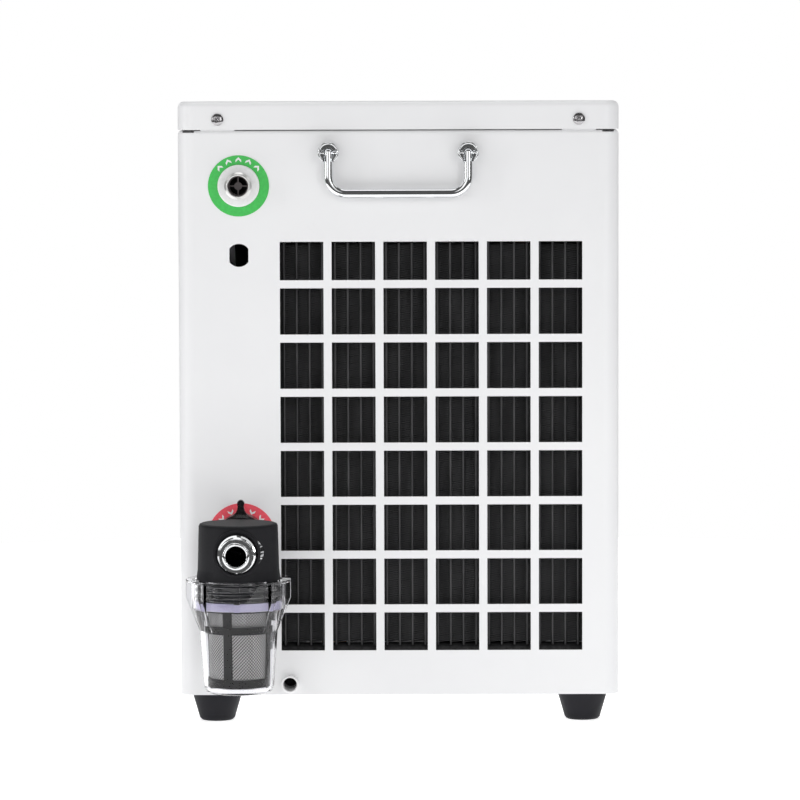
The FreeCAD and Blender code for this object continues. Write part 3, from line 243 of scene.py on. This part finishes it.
def lilacSilicone():
    f = Finish("lilacSilicone")
    milk = f.noise(160, 3)
    mixed = f.blend(milk, (0.50, 0.47, 0.68), (0.66, 0.63, 0.82))
    return f.shade(baseColor=mixed, roughness=f.spread(milk, 0.3, 0.7, 0.3, 0.42),
                   normal=f.bump(milk, 0.08, 0.0001))


meshSettings = {
    "radius": 0.0235,
    "pitch": 0.00125,
    "wire": (0.74, 0.73, 0.72),
    # painted shade on the wires passing under; the stains are also this colour
    "shadeAndStain": (0.08, 0.08, 0.08),
    "open": 0.68,  # the weave's pattern is a hole up to this value
    "solid": 0.80,  # and wire from this one
}


def wovenSteel(s=meshSettings):
    f = Finish("wovenSteel")
    low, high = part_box("basket_mesh")
    x, y, z = f.axes(f.place - ((low.x + high.x) / 2, (low.y + high.y) / 2, 0.0))
    turns = round(math.pi * s["radius"] / s["pitch"])  # half the wires round the sleeve
    warp = f.math("SINE", f.math("ARCTAN2", y, x) * turns)
    weft = f.math("SINE", z * (math.pi / s["pitch"]))
    wires = f.math("MAXIMUM", f.math("ABSOLUTE", warp), f.math("ABSOLUTE", weft))
    # painted shade: wires passing under are coloured dark, wires on top light
    over = f.spread(warp * weft * 0.5 + 0.5, 0.1, 0.9)
    colour = f.blend(over, s["shadeAndStain"], s["wire"])
    stain = f.spread(f.noise(70, 4, 0.6), 0.35, 0.7, 0.0, 0.22)
    return f.shade(baseColor=f.blend(stain, colour, s["shadeAndStain"]), metallic=0.3,
                   roughness=f.spread(over, 0.0, 1.0, 0.55, 0.35),
                   alpha=f.spread(wires, s["open"], s["solid"]),
                   normal=f.bump(over, 0.5, 0.00015))


def coatedAluminium(name, low, high, rough=(0.34, 0.5)):
    f = Finish(name)
    streak = f.noise(220, 4, 0.6, (1, 1, 0.15))
    return f.shade(baseColor=f.blend(f.spread(streak, 0.3, 0.7), low, high), metallic=0.5,
                   roughness=f.spread(streak, 0.3, 0.7, *rough), normal=f.bump(streak, 0.08, 0.0001))


def drawnCopper():
    f = Finish("drawnCopper")
    stain = f.noise(40, 4)
    return f.shade(baseColor=f.blend(stain, (0.62, 0.27, 0.15), (0.42, 0.19, 0.11)), metallic=1.0,
                   roughness=f.spread(stain, 0.3, 0.7, 0.25, 0.42), normal=f.bump(stain, 0.05, 0.0001))


finishes = {
    "white_coat": powderCoat(),
    "screw_zinc": brightMetal("screwZinc", (0.42, 0.41, 0.42), rough=(0.14, 0.26)),
    "black_rubber": mouldedRubber("footRubber", (0.008, 0.008, 0.011)),
    "polished_chrome": brightMetal("polishedChrome", (0.80, 0.81, 0.82)),
    "plated_brass": brightMetal("nickelPlate", (0.88, 0.87, 0.86), rough=(0.30, 0.42)),
    "green_vinyl": printedVinyl("greenVinyl", (0.060, 0.56, 0.100)),
    "red_vinyl": printedVinyl("redVinyl", (0.95, 0.10, 0.14)),
    "white_plastic": mouldedPlastic("whitePlastic", (0.84, 0.84, 0.84), grainScale=500, grain=0.05,
                                    rough=(0.25, 0.35), lift=1.03),
    "grey_plastic": mouldedPlastic("greyPlastic", (0.060, 0.050, 0.051)),
    "charcoal_plastic": mouldedPlastic("charcoalNylon", (0.007, 0.007, 0.009), grainScale=1300,
                                       grain=0.30, rough=(0.5, 0.62), lift=1.3, gloss=0.25),
    "black_plastic": mouldedPlastic("blackPlastic", (0.006, 0.006, 0.007), grainScale=600, grain=0.10,
                                    rough=(0.22, 0.36), lift=1.6, gloss=0.35),
    "clear_bowl": clearPolycarbonate(),
    "lilac_seal": lilacSilicone(),
    "steel_mesh": wovenSteel(),
    "dark_aluminium": coatedAluminium("tubeAluminium", (0.045, 0.045, 0.047), (0.080, 0.080, 0.082)),
    "black_wire": mouldedPlastic("wireEnamel", (0.014, 0.014, 0.015), grainScale=400, grain=0.08,
                                 rough=(0.3, 0.4), lift=1.5),
    "black_steel": mouldedPlastic("blackEnamel", (0.012, 0.012, 0.013), grainScale=120, grain=0.06,
                                  rough=(0.28, 0.4), lift=1.5),
    "pvc_grey": mouldedPlastic("greyVessel", (0.24, 0.26, 0.29), grainScale=200, grain=0.06,
                               rough=(0.35, 0.5), lift=1.1),
    "hose_rubber": mouldedRubber("hoseRubber", (0.013, 0.013, 0.014)),
    "copper": drawnCopper(),
    "display_window": mouldedPlastic("smokedWindow", (0.006, 0.006, 0.009), grainScale=90, grain=0.01,
                                     rough=(0.06, 0.12), lift=1.5),
    "brass_pin": brightMetal("brassPin", (0.75, 0.58, 0.25), rough=(0.2, 0.3)),
}
finishes["pan_zinc"] = finishes["white_coat"]
ownFinish = {
    "basket_frame": mouldedPlastic("basketNylon", (0.004, 0.004, 0.004), grainScale=600, grain=0.1,
                                   rough=(0.5, 0.65), lift=1.5, gloss=0.12),
}
glossyNylon = mouldedPlastic("glossyNylon", (0.006, 0.006, 0.007), grainScale=300, grain=0.03,
                             rough=(0.06, 0.12), lift=1.5, gloss=1.0)
for name, node in nodes.items():
    node.data.materials.clear()
    node.data.materials.append(ownFinish.get(name, finishes[slotOf[name]]))
print("finishes mixed:", len(finishes))


# Pieces

creaseAngle = math.radians(35)  # edges turned further than this stay sharp
roundSteps = 96


def newPiece(name, bm, finish, replaced=(), smooth=True):
    bmesh.ops.recalc_face_normals(bm, faces=bm.faces[:])
    mesh = bpy.data.meshes.new(name)
    bm.to_mesh(mesh)
    bm.free()
    mesh.materials.append(finish)
    for face in mesh.polygons:
        face.use_smooth = smooth
    if smooth:
        mesh.set_sharp_from_angle(angle=creaseAngle)
    piece = bpy.data.objects.new(name, mesh)
    bpy.context.scene.collection.objects.link(piece)
    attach(piece, "casing")
    if replaced:
        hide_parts(*replaced)
    return piece


def sweep(bm, rings, closed=True):  # skins a row of closed outlines, all the way round or with two end caps
    rings = [[bm.verts.new(point) for point in ring] for ring in rings]
    for ring, following in zip(rings, rings[1:] + (rings[:1] if closed else [])):
        for k in range(len(ring)):
            after = (k + 1) % len(ring)
            bm.faces.new((ring[k], following[k], following[after], ring[after]))
    if not closed:
        bm.faces.new(rings[0])
        bm.faces.new(rings[-1][::-1])


def aroundY(centre, r, depth, angle):  # a point about an axis along the casing's depth, in millimetres
    return centre + Vector((r * math.cos(angle), depth, r * math.sin(angle))) * mm


def fullTurn(steps):
    return [2 * math.pi * step / steps for step in range(steps)]


finPlan = {  # millimetres
    "gaps": 25,
    "tube": 1.9,
    "sheet": 0.15,
    "joint": 0.06,  # brazed this far into the tubes' skin
    "leg": 0.75,
    "crest": 0.15,
    "overhang": 0.25,
    "stagger": 0.4,  # each ribbon's start, as a share of a leg
    "staggerTurn": 2.3,
    "herringbone": 2.2,  # the crease in the fins' depth, high enough that no light passes
    "dark": (0.065, 0.065, 0.067),
    "light": (0.110, 0.110, 0.113),
}


def makeFins(s=finPlan):  # folded aluminium ribbon between each two tubes
    low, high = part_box("condenser_fins")
    tubeLow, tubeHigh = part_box("condenser_tubes")
    tube, sheet, leg, crest, joint = (s[key] * mm for key in ("tube", "sheet", "leg", "crest", "joint"))
    rise = s["herringbone"] * mm
    pitch = (tubeHigh.x - tubeLow.x - tube) / s["gaps"]
    front = low.y - s["overhang"] * mm
    depths = ((front, 0.0), ((front + high.y) / 2, rise), (high.y, 0.0))
    bm = bmesh.new()
    for gap in range(s["gaps"]):
        left = tubeLow.x + tube + gap * pitch - joint
        right = left + pitch - tube + 2 * joint
        start = abs(s["stagger"] * leg * math.sin(gap * s["staggerTurn"]))  # no two ribbons start level
        z = low.z + sheet + start
        line = []
        onRight = False
        while z + leg + crest < high.z - sheet:
            x = right if onRight else left
            line += [(x, z), (x, z + crest)]
            z += leg + crest
            onRight = not onRight
        foldRibbon(bm, line, depths, sheet, high.z - sheet)
    finish = coatedAluminium("finAluminium", s["dark"], s["light"])
    return newPiece("finFolds", bm, finish, ["condenser_fins"], smooth=False)


def foldRibbon(bm, line, depths, sheet, top):  # a thin closed sheet along the line, creased over its depth
    rows = []
    for x, z in line:
        for push in (-sheet / 2, sheet / 2):
            rows.append([bm.verts.new((x, y, min(z + rise, top) + push)) for y, rise in depths])
    for index in range(0, len(rows) - 2, 2):
        bottomA, topA, bottomB, topB = rows[index:index + 4]
        for k in range(len(depths) - 1):
            bm.faces.new((topA[k], topB[k], topB[k + 1], topA[k + 1]))
            bm.faces.new((bottomA[k + 1], bottomB[k + 1], bottomB[k], bottomA[k]))
        bm.faces.new((bottomA[0], bottomB[0], topB[0], topA[0]))
        bm.faces.new((topA[-1], topB[-1], bottomB[-1], bottomA[-1]))
    for first, second in ((rows[0], rows[1]), (rows[-1], rows[-2])):
        bm.faces.new((*first, *second[::-1]))


screwPlan = {  # millimetres
    "head": 4.6,
    "dome": 2.6,
    "domeSpread": 1.12,
    "domeSink": 0.25,
    "shank": 2.0,
    "length": 4.7,
    "recessReach": 2.3,
    "recessHalf": 0.55,
    "recessDepth": 1.5,
    "recessEase": 0.12,
    "recessSlope": 0.28,
    "recessTaper": 0.5,
    "turnStart": 0.5,
    "turnStep": 0.9,
    "pinhole": 0.0001,
    "weld": 0.002,
    "apart": 15,  # no two screws are as close as this
    "spokes": 72,
    "rings": 22,
}


def screwHeight(across, up, s):  # a domed head with a cross recess
    r = math.hypot(across, up)
    a, b = abs(across), abs(up)
    inside = min(s["recessHalf"] + s["recessEase"] - min(a, b), s["recessReach"] - max(a, b))
    share = max(0.0, min(1.0, inside / s["recessSlope"]))
    depth = s["recessDepth"] * share * (1 - s["recessTaper"] * max(a, b) / s["recessReach"])
    crown = math.sqrt(max(0.0, 1 - (r / (s["head"] * s["domeSpread"])) ** 2))
    return s["dome"] * crown - s["domeSink"] - depth


def makeScrews(s=screwPlan):  # where the solids' screws are, each turned to its own angle
    head, shank, tip = s["head"], s["shank"], -s["length"]
    headRadii = [s["pinhole"]] + [head * k / s["rings"] for k in range(1, s["rings"] + 1)]
    shankRings = ((head, 0.0), (shank, 0.0), (shank, tip), (s["pinhole"], tip))
    bm = bmesh.new()
    for number, (centre, facing) in enumerate(screwSpots(s)):
        turn = s["turnStep"] * number + s["turnStart"]
        rings = []
        for r, h in [(r, None) for r in headRadii] + list(shankRings):
            ring = []
            for spoke in range(s["spokes"]):
                angle = 2 * math.pi * spoke / s["spokes"]
                height = screwHeight(r * math.cos(angle), r * math.sin(angle), s) if h is None else h
                x, z = r * math.cos(angle + turn), r * math.sin(angle + turn)
                ring.append(bm.verts.new(centre + Vector((x * facing, height * facing, z)) * mm))
            rings.append(ring)
        for ring, following in zip(rings, rings[1:]):
            for k in range(s["spokes"]):
                after = (k + 1) % s["spokes"]
                bm.faces.new((ring[k], ring[after], following[after], following[k]))
    bmesh.ops.remove_doubles(bm, verts=bm.verts[:], dist=s["weld"] * mm)
    return newPiece("panelScrews", bm, finishes["screw_zinc"], ["panel_screws"])


def screwSpots(s=screwPlan):  # the foot of each screw's head, from the solids, and which way it faces
    groups = []
    for vertex in nodes["panel_screws"].data.vertices:
        point = vertex.co.copy()
        for group in groups:
            if (group[0] - point).length < s["apart"] * mm:
                group.append(point)
                break
        else:
            groups.append([point])
    spots = []
    for points in groups:
        facing = 1 if points[0].y > 0 else -1
        x = (min(p.x for p in points) + max(p.x for p in points)) / 2
        z = (min(p.z for p in points) + max(p.z for p in points)) / 2
        outer = max(p.y * facing for p in points) - s["dome"] * mm
        spots.append((Vector((x, outer * facing, z)), facing))
    return spots


nipplePlan = {  # millimetres, radii and depths behind the front end
    "node": "strainer_nipple",
    "slot": "polished_chrome",
    "bore": 7.6,
    "lip": 10.2,
    "step": 3.4,
    "shoulder": 12.5,
    "crest": 13.1,
    "thread": (4.9, 16.2),
    "pitch": 1.8,
    "height": 0.9,
    "behind": [(14.3, 16.6), (14.3, 21.6), (13.1, 21.6)],
}
stubPlan = {
    "node": "outlet_stub",
    "slot": "plated_brass",
    "bore": 7.8,
    "lip": 9.3,
    "step": 0.9,
    "shoulder": 9.4,
    "crest": 10.48,
    "thread": (2.0, 10.4),
    "pitch": 1.4,
    "height": 0.7,
    "behind": [(9.58, 10.5)],
}


lipSteps = 10
rowsPerTurn = 8


def makeThreaded(name, s):  # a threaded tube end with a rounded lip, in place of the plain solid
    low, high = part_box(s["node"])
    length = (high.y - low.y) / mm
    centre = Vector(((low.x + high.x) / 2, low.y, (low.z + high.z) / 2))
    start, end = s["thread"]
    middle, half = (s["bore"] + s["lip"]) / 2, (s["lip"] - s["bore"]) / 2
    turns = [math.pi * k / lipSteps for k in range(lipSteps + 1)]
    outline = [(middle - half * math.cos(turn), half * (1 - math.sin(turn))) for turn in turns]
    outline += [(s["lip"], s["step"]), (s["shoulder"], s["step"])]
    rows = round((end - start) / s["pitch"] * rowsPerTurn)
    outline += [(s["crest"], start + (end - start) * k / rows) for k in range(rows + 1)]
    outline += s["behind"] + [(s["behind"][-1][0], length), (s["bore"], length)]
    rings = []
    for angle in fullTurn(roundSteps):
        ring = []
        for r, depth in outline:
            if r == s["crest"]:
                fade = min(1.0, (depth - start) / s["pitch"], (end - depth) / s["pitch"])
                r -= s["height"] * fade * (0.5 + 0.5 * math.cos(2 * math.pi * depth / s["pitch"] - angle))
            ring.append(aroundY(centre, r, depth, angle))
        rings.append(ring)
    bm = bmesh.new()
    sweep(bm, rings)
    return newPiece(name, bm, finishes[s["slot"]], [s["node"]])


ridgePlan = {  # millimetres, heights above the head's foot
    "skirt": 31.72,
    "sink": 0.3,
    "crest": 33.02,
    "turns": 3,
    "fade": 3,  # each end rises over this part of a turn
    "low": 0.3,
    "high": 15.4,
    "rows": 72,
}


def makeRidges(s=ridgePlan):  # the head's glossy screw ridge, wound round its skirt inside the bowl's neck
    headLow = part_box("strainer_head")[0]
    bowlLow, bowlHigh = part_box("strainer_bowl")
    axis = Vector(((bowlLow.x + bowlHigh.x) / 2, (bowlLow.y + bowlHigh.y) / 2, headLow.z))
    pitch = (s["high"] - s["low"]) / s["turns"]
    rise = s["crest"] - s["skirt"]
    heights = [s["low"] + (s["high"] - s["low"]) * k / s["rows"] for k in range(s["rows"] + 1)]
    rings = []
    for angle in fullTurn(roundSteps):
        outline = []
        for height in heights:
            fromEnd = min(height - s["low"], s["high"] - height)
            fade = min(1.0, fromEnd / pitch * s["fade"])
            wave = 0.5 + 0.5 * math.cos(2 * math.pi * height / pitch - angle)
            outline.append((s["skirt"] + rise * fade * wave, height))
        inner = s["skirt"] - s["sink"]
        outline += [(inner, s["high"]), (inner, s["low"])]
        cos, sin = math.cos(angle), math.sin(angle)
        rings.append([axis + Vector((r * cos, r * sin, height)) * mm for r, height in outline])
    bm = bmesh.new()
    sweep(bm, rings)
    return newPiece("headRidges", bm, glossyNylon)


ferrulePlan = {  # millimetres, depths out from the panel's face
    "radius": 8.1,
    "bore": 6.2,
    "reach": 12.4,
    "floor": 2.4,
    "slotFloor": 3.0,
    "slotHalf": 4.2,
    "overlap": 0.1,
    "stud": 4.0,
    "sheet": 1.2,
    "nut": 6.5,
    "nutHeight": 5.0,
    "nutSides": 6,
    "lipSteps": 12,
    "spokes": 72,
    "weld": 0.0001,
}


def makeFerrules(s=ferrulePlan):  # round-lipped cups, each slotted below for the handle's leg
    low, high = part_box("handle_ferrules")
    radius, bore = s["radius"], s["bore"]
    z = (low.z + high.z) / 2
    lip = (radius - bore) / 2
    floor, slotFloor, stud, back = s["floor"], s["slotFloor"], s["stud"], -s["sheet"]
    foot = slotFloor - s["overlap"]
    turns = [math.pi * k / s["lipSteps"] for k in range(s["lipSteps"] + 1)]
    wall = [(radius, foot)]
    rim = s["reach"] - lip
    wall += [(bore + lip + lip * math.cos(turn), rim + lip * math.sin(turn)) for turn in turns]
    wall.append((bore, foot))
    base = [(0, floor), (bore, floor), (bore, slotFloor), (radius, slotFloor), (radius, 0),
            (stud, 0), (stud, back), (0, back)]
    nutBack = back - s["nutHeight"]
    nut = [(0, back), (s["nut"], back), (s["nut"], nutBack), (0, nutBack)]
    bm = bmesh.new()
    reach = s["reach"] * mm
    for facing, face in ((-1, low.y + reach), (1, high.y - reach)):
        for x in (low.x + radius * mm, high.x - radius * mm):
            centre = Vector((x, face, z))
            rings = []
            for step in range(s["spokes"] + 1):  # from one side of the slot round to the other
                ring = []
                for r, depth in wall:
                    slot = math.asin(s["slotHalf"] / r)
                    angle = -math.pi / 2 + slot + (2 * math.pi - 2 * slot) * step / s["spokes"]
                    ring.append(aroundY(centre, r, depth * facing, angle))
                rings.append(ring)
            sweep(bm, rings, closed=False)
            for outline, steps in ((base, s["spokes"]), (nut, s["nutSides"])):
                sweep(bm, [[aroundY(centre, r, depth * facing, angle) for r, depth in outline]
                           for angle in fullTurn(steps)])
    bmesh.ops.remove_doubles(bm, verts=bm.verts[:], dist=s["weld"] * mm)
    chrome = finishes["polished_chrome"]
    return newPiece("handleFerrules", bm, chrome, ["handle_ferrules"])


arrowPlan = {  # millimetres
    "count": 5,
    "spreadDegrees": 23.0,
    "width": 4.4,
    "length": 4.6,
    "thick": 0.06,
    "flange": 16.2,
}


def makeArrows(name, node, outward, s=arrowPlan):  # plain flow marks on the printed ring
    low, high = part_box(node)
    centre = Vector(((low.x + high.x) / 2, low.y, (low.z + high.z) / 2))
    middle = ((high.x - low.x) / 2 + s["flange"] * mm) / 2
    halfWidth, halfLength = s["width"] * mm / 2, s["length"] * mm / 2
    outline = [(-1, 0.05), (0, 1), (1, 0.05), (1, -0.75), (0, 0.2), (-1, -0.75)]
    lift = Vector((0, -s["thick"] * mm, 0))
    bm = bmesh.new()
    for number in range(s["count"]):
        angle = math.radians(90 + s["spreadDegrees"] * (number - (s["count"] - 1) / 2))
        radial = Vector((math.cos(angle), 0, math.sin(angle)))
        along = Vector((-math.sin(angle), 0, math.cos(angle)))
        pointing = radial * (halfLength if outward else -halfLength)
        points = [centre + radial * middle + along * halfWidth * a + pointing * b for a, b in outline]
        front = [bm.verts.new(point + lift) for point in points]
        back = [bm.verts.new(point) for point in points]
        bm.faces.new(front)
        bm.faces.new(back[::-1])
        for k in range(len(points)):
            after = (k + 1) % len(points)
            bm.faces.new((front[k], front[after], back[after], back[k]))
    return newPiece(name, bm, finishes["white_plastic"], smooth=False)


makeFins()
makeScrews()
makeThreaded("nippleThreaded", nipplePlan)
makeThreaded("outletThreaded", stubPlan)
makeRidges()
makeFerrules()
makeArrows("outletArrows", "outlet_label", True)
makeArrows("inletArrows", "inlet_label", False)
print("pieces made")


# Camera, floor and light

cameraPlan = {
    "distance": 3.30,  # from the casing's front
    "height": 0.482,
    "aimX": 0.0008,
    "aimZ": 0.2510,
    "lens": 192.8,
    "sensor": 36,
    "roll": 0.17,  # degrees
    "near": 0.05,
    "far": 100,
}


def addCamera(s=cameraPlan):
    data = bpy.data.cameras.new("photoCamera")
    data.lens, data.sensor_width = s["lens"], s["sensor"]
    data.clip_start, data.clip_end = s["near"], s["far"]
    camera = bpy.data.objects.new("photoCamera", data)
    bpy.context.scene.collection.objects.link(camera)
    target = Vector((s["aimX"], panelFace, s["aimZ"]))
    camera.location = (s["aimX"], panelFace - s["distance"], s["height"])
    turn = (target - camera.location).to_track_quat("-Z", "Y")
    camera.rotation_mode = "QUATERNION"
    camera.rotation_quaternion = turn @ Euler((0, 0, math.radians(-s["roll"]))).to_quaternion()
    bpy.context.scene.camera = camera


lightPlan = {  # place, aim, width, height, watts
    "frontLeft": ((-1.15, -2.6, 1.00), (-0.1, -0.2, 0.25), 1.9, 1.5, 10.8),
    "frontRight": ((1.15, -2.6, 1.00), (0.1, -0.2, 0.25), 1.9, 1.5, 7.5),
    "keyLeft": ((-2.3, -1.2, 0.7), (-0.1, -0.25, 0.2), 0.20, 1.2, 7),
    "keyRight": ((1.3, -2.4, 0.7), (-0.1, -0.25, 0.2), 0.18, 1.2, 4.5),
    "sideLeft": ((-1.9, -0.3, 1.9), (0, 0, 0.25), 1.2, 1.2, 4),
    "sideRight": ((1.9, -0.3, 1.9), (0, 0, 0.25), 1.2, 1.2, 4),
    "overhead": ((0, 0.2, 2.6), (0, 0, 0.4), 1.6, 1.6, 14),
    "rearLeft": ((-2.0, 2.6, 1.35), (0, 0.1, 0.25), 1.3, 1.5, 9),
    "rearRight": ((2.0, 2.6, 1.35), (0, 0.1, 0.25), 1.3, 1.5, 9),
}
floorPlan = {
    "radius": 1.2,
    "white": (0.90, 0.90, 0.905),
    "glowNear": 0.62,
    "glowFar": 1.05,
    "nearEdge": 0.35,
    "farEdge": 1.1,
}
airPlan = {"seen": (1.0, 1.0, 1.0), "ambient": (0.38, 0.38, 0.385), "mirrored": (0.10, 0.10, 0.10)}


def addLights(plan=lightPlan):
    for name, (place, aim, width, height, watts) in plan.items():
        data = bpy.data.lights.new(name, "AREA")
        data.shape, data.size, data.size_y, data.energy = "RECTANGLE", width, height, watts
        light = bpy.data.objects.new(name, data)
        light.location = place
        light.visible_camera = False
        light.rotation_mode = "QUATERNION"
        light.rotation_quaternion = (Vector(aim) - Vector(place)).to_track_quat("-Z", "Y")
        bpy.context.scene.collection.objects.link(light)


def addFloor(s=floorPlan):
    bm = bmesh.new()
    bmesh.ops.create_circle(bm, cap_ends=True, radius=s["radius"], segments=roundSteps)
    mesh = bpy.data.meshes.new("studioFloor")
    bm.to_mesh(mesh)
    bm.free()
    floor = bpy.data.objects.new("studioFloor", mesh)
    bpy.context.scene.collection.objects.link(floor)
    f = Finish("paleFloor")
    paint = f.blend(f.noise(3, 3), s["white"], toned(s["white"], 0.985))
    x, y = f.axes(f.place)[:2]
    away = f.math("SQRT", x * x + y * y)
    glow = f.spread(away, s["nearEdge"], s["farEdge"], s["glowNear"], s["glowFar"])
    mesh.materials.append(f.shade(baseColor=paint, roughness=0.85, emissionStrength=1.0,
                                  emissionColor=f.blend(glow, (0, 0, 0), (1, 1, 1))))


def addAir(s=airPlan):  # white to the camera, dim in mirrors, a soft fill on everything else
    world = bpy.data.worlds.new("studioAir")
    world.use_nodes = True
    tree = world.node_tree
    rays = tree.nodes.new("ShaderNodeLightPath")
    mirrored = tree.nodes.new("ShaderNodeMix")
    mirrored.data_type = "RGBA"
    tree.links.new(rays.outputs["Is Glossy Ray"], mirrored.inputs[0])
    plug(tree, mirrored.inputs[6], s["ambient"])
    plug(tree, mirrored.inputs[7], s["mirrored"])
    seen = tree.nodes.new("ShaderNodeMix")
    seen.data_type = "RGBA"
    tree.links.new(rays.outputs["Is Camera Ray"], seen.inputs[0])
    tree.links.new(mirrored.outputs[2], seen.inputs[6])
    plug(tree, seen.inputs[7], s["seen"])
    tree.links.new(seen.outputs[2], tree.nodes["Background"].inputs[0])
    bpy.context.scene.world = world


addCamera()
addLights()
addFloor()
addAir()
bpy.context.scene.view_settings.view_transform = "Standard"
print("camera, floor and light set")
